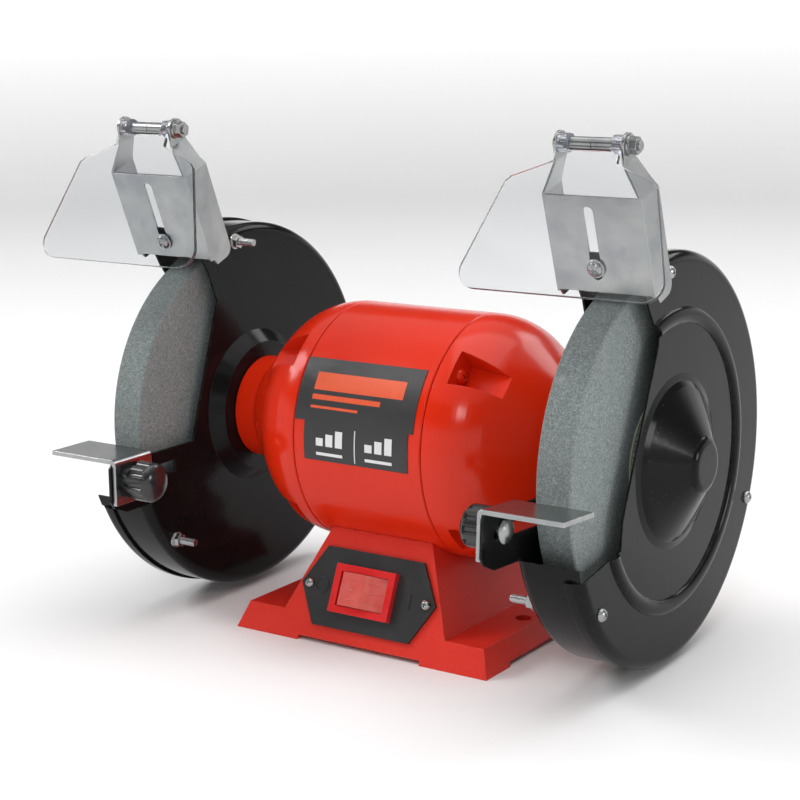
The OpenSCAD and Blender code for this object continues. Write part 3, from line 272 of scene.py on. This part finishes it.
def laminated_steel():
    """Thin steel sheets stacked along the shaft."""
    f = Finish("electrical_steel")
    sheets = add(f.tree, "ShaderNodeTexWave",
                 {"Vector": f.coords, "Scale": 310.0, "Distortion": 0.3},
                 wave_type="BANDS", bands_direction="X").outputs["Fac"]
    tone = f.mix(sheets, rgb(0.10, 0.10, 0.105), rgb(0.27, 0.27, 0.28))
    tone = f.mix(f.span(f.noise(120, 4), 0.5, 0.7, 0, 0.5), tone, rgb(0.22, 0.15, 0.10))
    f.set(Base_Color=tone, Metallic=0.9, Roughness=f.span(sheets, 0, 1, 0.55, 0.38))
    f.bump(sheets, 0.3, 0.0002)
    return f.mat


def cast_aluminium():
    """Bare aluminium with the casting's grain."""
    f = Finish("cast_aluminium")
    grain = f.noise(700, 4)
    tone = f.mix(f.noise(80, 3), rgb(0.52, 0.53, 0.54), rgb(0.66, 0.66, 0.66))
    f.set(Base_Color=tone, Metallic=1.0, Roughness=f.span(grain, 0.3, 0.7, 0.38, 0.56))
    f.bump(grain, 0.3, 0.0003)
    return f.mat


def copper_wire():
    """Varnished copper turns round the shaft."""
    f = Finish("copper_wire")
    turns = f.rings(320.0, Distortion=2.0)
    tone = f.mix(turns, rgb(0.22, 0.06, 0.02), rgb(0.66, 0.26, 0.09))
    f.set(Base_Color=tone, Metallic=0.85, Roughness=f.span(f.noise(200, 3), 0.3, 0.7, 0.25, 0.4),
          Coat_Weight=0.4, Coat_Roughness=0.15)
    f.bump(turns, 0.7, 0.0006)
    return f.mat


def abrasive():
    """Bonded grey grains with pores, a rim made darker than the sides by painted shade, painted highlights on the
    sharp edges, and a few that glint.
    """
    f = Finish("vitrified_abrasive")
    grains = add(f.tree, "ShaderNodeTexVoronoi", {"Vector": f.coords, "Scale": 1450.0})
    channels = add(f.tree, "ShaderNodeSeparateColor", {"Color": grains.outputs["Color"]})
    shade = channels.outputs["Red"]
    tone = f.ramp(shade, (0.0, rgb(0.14, 0.16, 0.16)), (0.35, rgb(0.20, 0.232, 0.23)),
                  (0.72, rgb(0.245, 0.28, 0.275)), (1.0, rgb(0.33, 0.37, 0.36)))
    cloud = f.noise(34, 4)
    tone = f.mix(f.span(cloud, 0.35, 0.75, 0.0, 0.35), tone, rgb(0.19, 0.215, 0.21))
    # Painted shade: the rim, which faces away from the shaft's line, is made darker than the sides.
    normal = add(f.tree, "ShaderNodeSeparateXYZ", {"Vector": object_normal(f.tree)})
    side = f.math("ABSOLUTE", normal.outputs["X"])
    tone = f.mix(f.span(side, 0.9, 0.2, 0.0, 0.22), tone, rgb(0.09, 0.105, 0.105))
    pores = f.span(f.noise(820, 2), 0.36, 0.28)
    tone = f.blotch(tone, pores, 0.6, rgb(0.07, 0.08, 0.08))
    # Painted highlight: the sharp edges are made paler.
    edge_wear_and_highlight = f.edges(0.0008)
    tone = f.blotch(tone, edge_wear_and_highlight, 0.35, rgb(0.36, 0.39, 0.385))
    glint = f.span(shade, 0.93, 0.97)
    f.set(Base_Color=tone, Roughness=f.span(glint, 0, 1, 0.88, 0.45))
    height = f.math("SUBTRACT", f.math("ADD", grains.outputs["Distance"], f.noise(460, 3)),
                    f.math("MULTIPLY", pores, 1.2))
    f.bump(height, 0.26, 0.0004, 0.0010)
    return f.mat


def moulded(name, dark, light, rough, grain_size=900, grain=0.08, coat=0.0, edge=0.0004):
    """A moulded plastic with a fine surface, slight flow marks and paler sharp edges that are a painted highlight.
    """
    f = Finish(name)
    flow = f.noise(60, 4)
    tone = f.mix(flow, rgb(*dark), rgb(*light))
    # Painted highlight: the sharp edges are made paler.
    edge_highlight = f.wear_and_highlight_edges(edge, 300, 3, 0.35, 0.6)
    paler = rgb(*(min(1.0, c * 1.5 + 0.03) for c in light))
    tone = f.blotch(tone, edge_highlight, 0.5, paler)
    f.set(Base_Color=tone,
          Roughness=f.span(f.noise(90, 5), 0.3, 0.7, rough - 0.05, rough + 0.07),
          Coat_Weight=coat, Coat_Roughness=0.06)
    f.bump(f.noise(grain_size, 3), grain, 0.0002, edge)
    return f.mat


def blotter_paper():
    """Green card with visible fibres."""
    f = Finish("blotter_paper")
    fibres = f.noise(900, 6, 0.7, f.stretched(1, 2.5, 0.7))
    tone = f.mix(fibres, rgb(0.20, 0.25, 0.17), rgb(0.38, 0.43, 0.31))
    f.set(Base_Color=tone, Roughness=f.span(fibres, 0.3, 0.7, 0.80, 0.95))
    f.bump(fibres, 0.4, 0.0003)
    return f.mat


def clear_plastic():
    """Clear sheet with faint smears and scratches, and a frosted rim."""
    f = Finish("clear_plastic")
    smear = f.noise(38, 5, 0.6)
    scratch = f.noise(900, 2, 0.5, f.stretched(0.25, 3.0, 3.0))
    lean = math.radians(SHIELD_LEAN)
    sheet_normal = (0.0, -math.cos(lean), math.sin(lean))
    facing = add(f.tree, "ShaderNodeVectorMath", {0: object_normal(f.tree), 1: sheet_normal},
                 operation="DOT_PRODUCT").outputs["Value"]
    rim = f.span(f.math("ABSOLUTE", facing), 0.97, 0.80)
    sheet = f.mix(smear, rgb(0.93, 0.95, 0.97), rgb(0.97, 0.98, 0.99))
    rough = f.math("ADD", f.span(smear, 0.35, 0.75, 0.0, 0.03), f.math("MULTIPLY", rim, 0.35))
    f.set(Base_Color=f.mix(rim, sheet, rgb(0.80, 0.82, 0.93)), Roughness=rough,
          Transmission_Weight=1.0, IOR=1.5, Specular_IOR_Level=0.5)
    f.bump(scratch, 0.02, 0.0001, 0.0005)
    return f.mat


def translucent_red():
    """The rocker's red plastic, which lets some light through."""
    f = Finish("translucent_red_plastic")
    glow = f.noise(160, 4)
    f.set(Base_Color=f.mix(glow, rgb(0.86, 0.09, 0.07), rgb(0.97, 0.20, 0.16)),
          Roughness=f.span(glow, 0.3, 0.7, 0.08, 0.20),
          Transmission_Weight=0.35, IOR=1.5, Coat_Weight=0.3, Coat_Roughness=0.04)
    f.bump(f.noise(420, 2), 0.06, 0.0002, 0.0005)
    return f.mat


def ink(name, colour):
    """A printed colour, a little uneven, with the film's grain."""
    f = Finish(name)
    patch = f.noise(500, 4)
    pale = tuple(min(1.0, c * 1.12 + 0.01) for c in colour)
    f.set(Base_Color=f.mix(patch, rgb(*colour), rgb(*pale)),
          Roughness=f.span(patch, 0.3, 0.7, 0.34, 0.46))
    f.bump(f.noise(1500, 3), 0.05, 0.0001)
    return f.mat


FINISHES = {
    "textured_red_paint": textured_red_paint(),
    "red_enamel": red_enamel(),
    "black_enamel": black_enamel(),
    "zinc_plate": zinc_plate(),
    "bright_steel": turned_steel(),
    "electrical_steel": laminated_steel(),
    "cast_aluminium": cast_aluminium(),
    "copper_wire": copper_wire(),
    "vitrified_abrasive": abrasive(),
    "blotter_paper": blotter_paper(),
    "clear_plastic": clear_plastic(),
    "translucent_red_plastic": translucent_red(),
}
# The moulded plastics: dark and light tones, roughness, and then grain size, grain and coat
for name, *look in (
        ("white_plastic", (0.62, 0.61, 0.55), (0.74, 0.73, 0.68), 0.45),
        ("gloss_black_plastic", (0.010, 0.010, 0.011), (0.022, 0.021, 0.021), 0.22,
         500, 0.05, 0.3),
        ("satin_black_plastic", (0.014, 0.014, 0.015), (0.026, 0.026, 0.027), 0.36, 1500, 0.16),
        ("gloss_red_plastic", (0.62, 0.012, 0.014), (0.72, 0.022, 0.022), 0.20, 400, 0.04, 0.4),
        ("wire_insulation", (0.03, 0.03, 0.035), (0.07, 0.07, 0.075), 0.4),
        ("label_film", (0.020, 0.020, 0.021), (0.032, 0.032, 0.033), 0.40, 1300, 0.07)):
    FINISHES[name] = moulded(name, *look)
ORANGE_INK = ink("orange_ink", (0.70, 0.085, 0.022))
WHITE_INK = ink("white_ink", (0.70, 0.70, 0.70))

for part in record["subparts"]:
    thing = nodes[part["node"]]
    finish = FINISHES[part["material_slot"]]
    if thing.data.materials:
        for index in range(len(thing.data.materials)):
            thing.data.materials[index] = finish
    else:
        thing.data.materials.append(finish)


# ---------------------------------------------------------------- small pieces

def make_piece(name, mesh_maker, body, material):
    """Builds a flat-shaded mesh from mesh_maker(bm), on a body and with a finish."""
    bm = bmesh.new()
    mesh_maker(bm)
    bmesh.ops.recalc_face_normals(bm, faces=bm.faces)
    mesh = bpy.data.meshes.new(name)
    bm.to_mesh(mesh)
    bm.free()
    piece = bpy.data.objects.new(name, mesh)
    scene.collection.objects.link(piece)
    piece.data.materials.append(material)
    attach(piece, body)
    return piece


def join_rings(bm, a, b):
    """A band of faces between two closed rings of points."""
    count = len(a)
    for i in range(count):
        j = (i + 1) % count
        bm.faces.new((a[i], a[j], b[j], b[i]))


def add_block(bm, rows):
    """A closed strip through rows that all have the same number of points."""
    rings = [[bm.verts.new(p) for p in row] for row in rows]
    for a, b in zip(rings, rings[1:]):
        join_rings(bm, a, b)
    bm.faces.new(rings[0])
    bm.faces.new(rings[-1])


# The label's radius about the shaft, and how far the print stands out of it and sinks in
LABEL_R = AXIS.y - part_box("label_plate")[0].y
INK_T = 0.00006

# The orange bars: two places along the shaft, two elevations in degrees, and steps
ORANGE_BARS = ((-0.032, 0.028, 25.5, 34.0, 8), (-0.032, 0.014, 21.0, 23.4, 3),
               (-0.032, 0.000, 17.0, 18.2, 3))

# The two white groups: three upright bars that grow, with a line under them
GROUP_STARTS = (-0.0265, 0.0068)
BAR_TOPS = (3.6, 5.6, 7.6)
BAR_PITCH = 0.0066
BAR_WIDTH = 0.0048
UNDERLINE_LENGTH = 0.0180
UNDERLINE = (-4.4, -3.0)
DIVIDER = (-0.0004, 0.0002, -6.0, 9.0)


def on_label(x, elevation, lift):
    """A point on the label: along the shaft, degrees above level, and out from its face."""
    a = math.radians(elevation)
    r = LABEL_R + lift
    return Vector((x, AXIS.y - r * math.cos(a), AXIS.z + r * math.sin(a)))


def print_bar(bm, x0, x1, low, high, steps=8):
    """A printed bar on the label, between two places along the shaft and two elevations."""
    rows = []
    for i in range(steps + 1):
        a = low + (high - low) * i / steps
        rows.append([on_label(x0, a, -INK_T), on_label(x1, a, -INK_T),
                     on_label(x1, a, INK_T), on_label(x0, a, INK_T)])
    add_block(bm, rows)


def orange_print(bm):
    for bar in ORANGE_BARS:
        print_bar(bm, *bar)


def white_print(bm):
    for start in GROUP_STARTS:
        for k, top in enumerate(BAR_TOPS):
            left = start + BAR_PITCH * k
            print_bar(bm, left, left + BAR_WIDTH, 0.0, top)
        print_bar(bm, start, start + UNDERLINE_LENGTH, *UNDERLINE, 3)
    print_bar(bm, *DIVIDER)


make_piece("label_trim_print", orange_print, "frame", ORANGE_INK)
make_piece("label_block_print", white_print, "frame", WHITE_INK)


def on_switch(x, up, out):
    """A point by the switch: along the shaft, up the slope and out from the rocker's pivot."""
    return PIVOT + Vector((x, 0, 0)) + UP * up + OUT * out


# The switch plate's face above the rocker's pivot, and the marks beside the rocker
PLATE_FACE = 0.003
MARK_X = 0.0302
MARK_RISE = 0.0004
BAR_HALF_WIDTH = 0.0009
BAR_HALF_LENGTH = 0.0048
RING_RADIUS = 0.0042
RING_HALF_WIDTH = 0.0008
RING_STEPS = 40


def bar_mark(bm):
    """A raised bar, with its ends and its top drawn in a little."""
    low, high = PLATE_FACE - MARK_RISE, PLATE_FACE + MARK_RISE
    rows = []
    for step in range(7):
        up = -BAR_HALF_LENGTH + 2 * BAR_HALF_LENGTH * step / 6
        k = BAR_HALF_WIDTH * (0.55 if step in (0, 6) else 1.0)
        rows.append([on_switch(MARK_X - k, up, low), on_switch(MARK_X + k, up, low),
                     on_switch(MARK_X + k * 0.8, up, high), on_switch(MARK_X - k * 0.8, up, high)])
    add_block(bm, rows)


def ring_mark(bm):
    """A raised ring, with its top drawn in a little."""
    w, t = RING_HALF_WIDTH, MARK_RISE
    rings = []
    for i in range(RING_STEPS):
        a = 2 * math.pi * i / RING_STEPS
        ring = []
        for d, out in ((-w, -t), (w, -t), (w * 0.75, t), (-w * 0.75, t)):
            r = RING_RADIUS + d
            point = on_switch(-MARK_X + r * math.cos(a), r * math.sin(a), PLATE_FACE + out)
            ring.append(bm.verts.new(point))
        rings.append(ring)
    for i in range(RING_STEPS):
        join_rings(bm, rings[i], rings[(i + 1) % RING_STEPS])


make_piece("switch_bar_mark", bar_mark, "frame",
           FINISHES["satin_black_plastic"])
make_piece("switch_ring_mark", ring_mark, "frame",
           FINISHES["satin_black_plastic"])


def islands(node):
    """The separate solids of a CAD node, each as its lowest and highest corner."""
    mesh = nodes[node].data
    keys = {}
    owner = []
    for v in mesh.vertices:
        key = tuple(round(c, 6) for c in v.co)
        owner.append(keys.setdefault(key, len(keys)))
    parent = list(range(len(keys)))

    def root(i):
        while parent[i] != i:
            parent[i] = parent[parent[i]]
            i = parent[i]
        return i

    for edge in mesh.edges:
        a, b = root(owner[edge.vertices[0]]), root(owner[edge.vertices[1]])
        parent[a] = b
    groups = {}
    for v in mesh.vertices:
        groups.setdefault(root(owner[v.index]), []).append(v.co)
    return [(Vector([min(p[k] for p in group) for k in range(3)]),
             Vector([max(p[k] for p in group) for k in range(3)])) for group in groups.values()]


# A thread's crest above the bolt, its root below the bolt's surface, and its run-out
CREST = 0.00022
ROOT = 0.0002
RUN_OUT = 0.00002


def helix_thread(bm, start, along, radius, pitch, length, per_turn=20):
    """A closed ridge that winds round a bolt from its end."""
    along = along.normalized()
    side = along.orthogonal().normalized()
    other = along.cross(side)
    steps = int(length / pitch * per_turn)
    rings = []
    for i in range(steps + 1):
        a = 2 * math.pi * i / per_turn
        spoke = side * math.cos(a) + other * math.sin(a)
        middle = start + along * (pitch * i / per_turn)
        rise = CREST if 0 < i < steps else RUN_OUT
        rings.append([middle + spoke * (radius - ROOT) - along * pitch * 0.42,
                      middle + spoke * (radius + rise),
                      middle + spoke * (radius - ROOT) + along * pitch * 0.42])
    add_block(bm, rings)


def guard_screw_threads(bm):
    """Threads on the guard screws' ends, which stand out of their nuts towards the motor."""
    for low, high in islands("guard_screws"):
        middle = (low + high) / 2
        inner = low.x if middle.x > 0 else high.x
        out = 1 if middle.x > 0 else -1
        start = Vector((inner + out * 0.0008, middle.y, middle.z))
        helix_thread(bm, start, Vector((out, 0, 0)), radius=0.0020, pitch=0.0007, length=0.0095)


def arbor_threads(bm):
    """Threads on the two ends of the shaft, beyond the arbor nuts."""
    low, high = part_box("shaft")
    for end, out in ((low.x, 1), (high.x, -1)):
        start = Vector((end + out * 0.0016, AXIS.y, AXIS.z))
        helix_thread(bm, start, Vector((out, 0, 0)), radius=0.0080, pitch=0.0015, length=0.0020,
                     per_turn=48)


make_piece("guard_screw_threads", guard_screw_threads, "frame",
           FINISHES["zinc_plate"])
make_piece("arbor_threads", arbor_threads, "rotor", FINISHES["bright_steel"])

# The rocker at rest: its tilt, its ridge above the pivot, and each half's drop and length
ROCKER_TILT = math.radians(9)
ROCKER_RIDGE = 0.010
ROCKER_DROP = 0.0038
ROCKER_HALF = 0.01445


def rocker_line(bm, face, place):
    """One raised line on half of the rocker, along its length."""
    tilt = ROCKER_TILT
    rows = []
    for i in range(7):
        t = i / 6
        x = face * (0.0035 + 0.0070 * t)
        z = ROCKER_RIDGE - abs(x) * ROCKER_DROP / ROCKER_HALF
        swell = 0.00035 * (0.4 if i in (0, 6) else 1.0)
        row = []
        for up, rise in ((-0.00045, -0.0002), (0.00045, -0.0002),
                         (0.0003, swell), (-0.0003, swell)):
            turned_x = x * math.cos(tilt) + (z + rise) * math.sin(tilt)
            turned_z = -x * math.sin(tilt) + (z + rise) * math.cos(tilt)
            row.append(on_switch(turned_x, place + up, turned_z))
        rows.append(row)
    add_block(bm, rows)


def rocker_lines(bm):
    for face in (-1, 1):
        for place in (-0.0055, 0.0, 0.0055):
            rocker_line(bm, face, place)


make_piece("rocker_lines", rocker_lines, "rocker",
           FINISHES["translucent_red_plastic"])


# ---------------------------------------------------------------- floor, light and camera

# The studio's floor radius, the radius of its curve up, its wall's top, and its steps
FLOOR_R = 2.4
CURVE_R = 1.2
WALL_TOP = 2.8
FLOOR_STEPS = 96


def studio():
    """A pale round floor that curves up into a wall, so every view ends in the same tone."""
    profile = [(0.7, 0.0), (1.5, 0.0), (FLOOR_R, 0.0)]
    for degrees in range(6, 91, 6):
        a = math.radians(degrees)
        profile.append((FLOOR_R + CURVE_R * math.sin(a), CURVE_R - CURVE_R * math.cos(a)))
    profile += [(FLOOR_R + CURVE_R, 2.0), (FLOOR_R + CURVE_R, WALL_TOP)]
    angles = [2 * math.pi * i / FLOOR_STEPS for i in range(FLOOR_STEPS)]
    bm = bmesh.new()
    middle = bm.verts.new((0, 0, 0))
    rings = [[bm.verts.new((r * math.cos(a), r * math.sin(a), z)) for a in angles]
             for r, z in profile]
    for i in range(FLOOR_STEPS):
        j = (i + 1) % FLOOR_STEPS
        bm.faces.new((middle, rings[0][i], rings[0][j]))
        for a, b in zip(rings, rings[1:]):
            bm.faces.new((a[i], b[i], b[j], a[j]))
    mesh = bpy.data.meshes.new("studio_floor")
    bm.to_mesh(mesh)
    bm.free()
    for face in mesh.polygons:
        face.use_smooth = True
    floor = bpy.data.objects.new("studio_floor", mesh)
    scene.collection.objects.link(floor)
    f = Finish("studio_floor")
    pale = f.mix(f.noise(3, 2), rgb(0.90, 0.90, 0.90), rgb(0.92, 0.92, 0.92))
    height = add(f.tree, "ShaderNodeSeparateXYZ", {"Vector": f.coords}).outputs["Z"]
    # The wall glows a little, and turns dark above the views, for the reflections in the paint
    dark = f.span(height, 0.8, 1.3)
    glow = f.span(height, 0.0, 0.3, 0.0, 0.34)
    lift = f.math("MULTIPLY", glow, f.math("SUBTRACT", 1.0, dark))
    f.set(Base_Color=f.mix(dark, pale, rgb(0.10, 0.10, 0.10)), Roughness=0.7,
          Specular_IOR_Level=0.2, Emission_Color=rgb(1.0, 1.0, 1.0), Emission_Strength=lift)
    floor.data.materials.append(f.mat)


def softbox(name, place, target, width, height, power):
    """A rectangular light that faces a point, with its size in metres and power in watts."""
    data = bpy.data.lights.new(name, "AREA")
    data.shape = "RECTANGLE"
    data.size = width
    data.size_y = height
    data.energy = power
    lamp = bpy.data.objects.new(name, data)
    scene.collection.objects.link(lamp)
    lamp.location = place
    lamp.rotation_euler = (Vector(target) - Vector(place)).to_track_quat("-Z", "Y").to_euler()


# The photograph's camera: its focal length in pixels on an 800-pixel frame, and the rest
SENSOR = 36.0
FOCAL_PIXELS = 1863.6
FRAME_PIXELS = 800
CAMERA_PLACE = Vector((0.5833, -0.8828, 0.3602))
CAMERA_TARGET = Vector((0.0, 0.008, 0.150))
CAMERA_ROLL = math.radians(-0.43)


def camera():
    """The camera at the photograph's viewing angle."""
    data = bpy.data.cameras.new("camera")
    view = bpy.data.objects.new("camera", data)
    scene.collection.objects.link(view)
    data.sensor_width = SENSOR
    data.lens = FOCAL_PIXELS / FRAME_PIXELS * SENSOR
    data.shift_x = -0.0298
    data.shift_y = -0.0358
    data.clip_start = 0.01
    turn = (CAMERA_TARGET - CAMERA_PLACE).to_track_quat("-Z", "Y").to_matrix().to_4x4()
    roll = Matrix.Rotation(CAMERA_ROLL, 4, "Z")
    view.matrix_world = Matrix.Translation(CAMERA_PLACE) @ turn @ roll
    scene.camera = view


studio()
softbox("key_light", (-1.8, -0.75, 1.6), (0, 0, 0.12), 0.8, 0.8, 22)
softbox("front_light", (0.9, -2.2, 1.5), (0, 0, 0.12), 0.5, 0.5, 9)
softbox("top_light", (0.2, 0.1, 2.2), (0, 0, 0.1), 2.2, 2.2, 24)
softbox("right_light", (2.0, 0.2, 0.60), (0.1, 0, 0.12), 0.5, 0.5, 7)
softbox("back_light", (0.6, 1.8, 1.5), (0, 0, 0.12), 1.0, 0.7, 8)
world = bpy.data.worlds.new("studio_world")
world.use_nodes = True
sky = world.node_tree.nodes["Background"]
sky.inputs["Color"].default_value = rgb(1.0, 1.0, 1.0)
sky.inputs["Strength"].default_value = 0.65
scene.world = world
scene.view_settings.view_transform = "Standard"
camera()
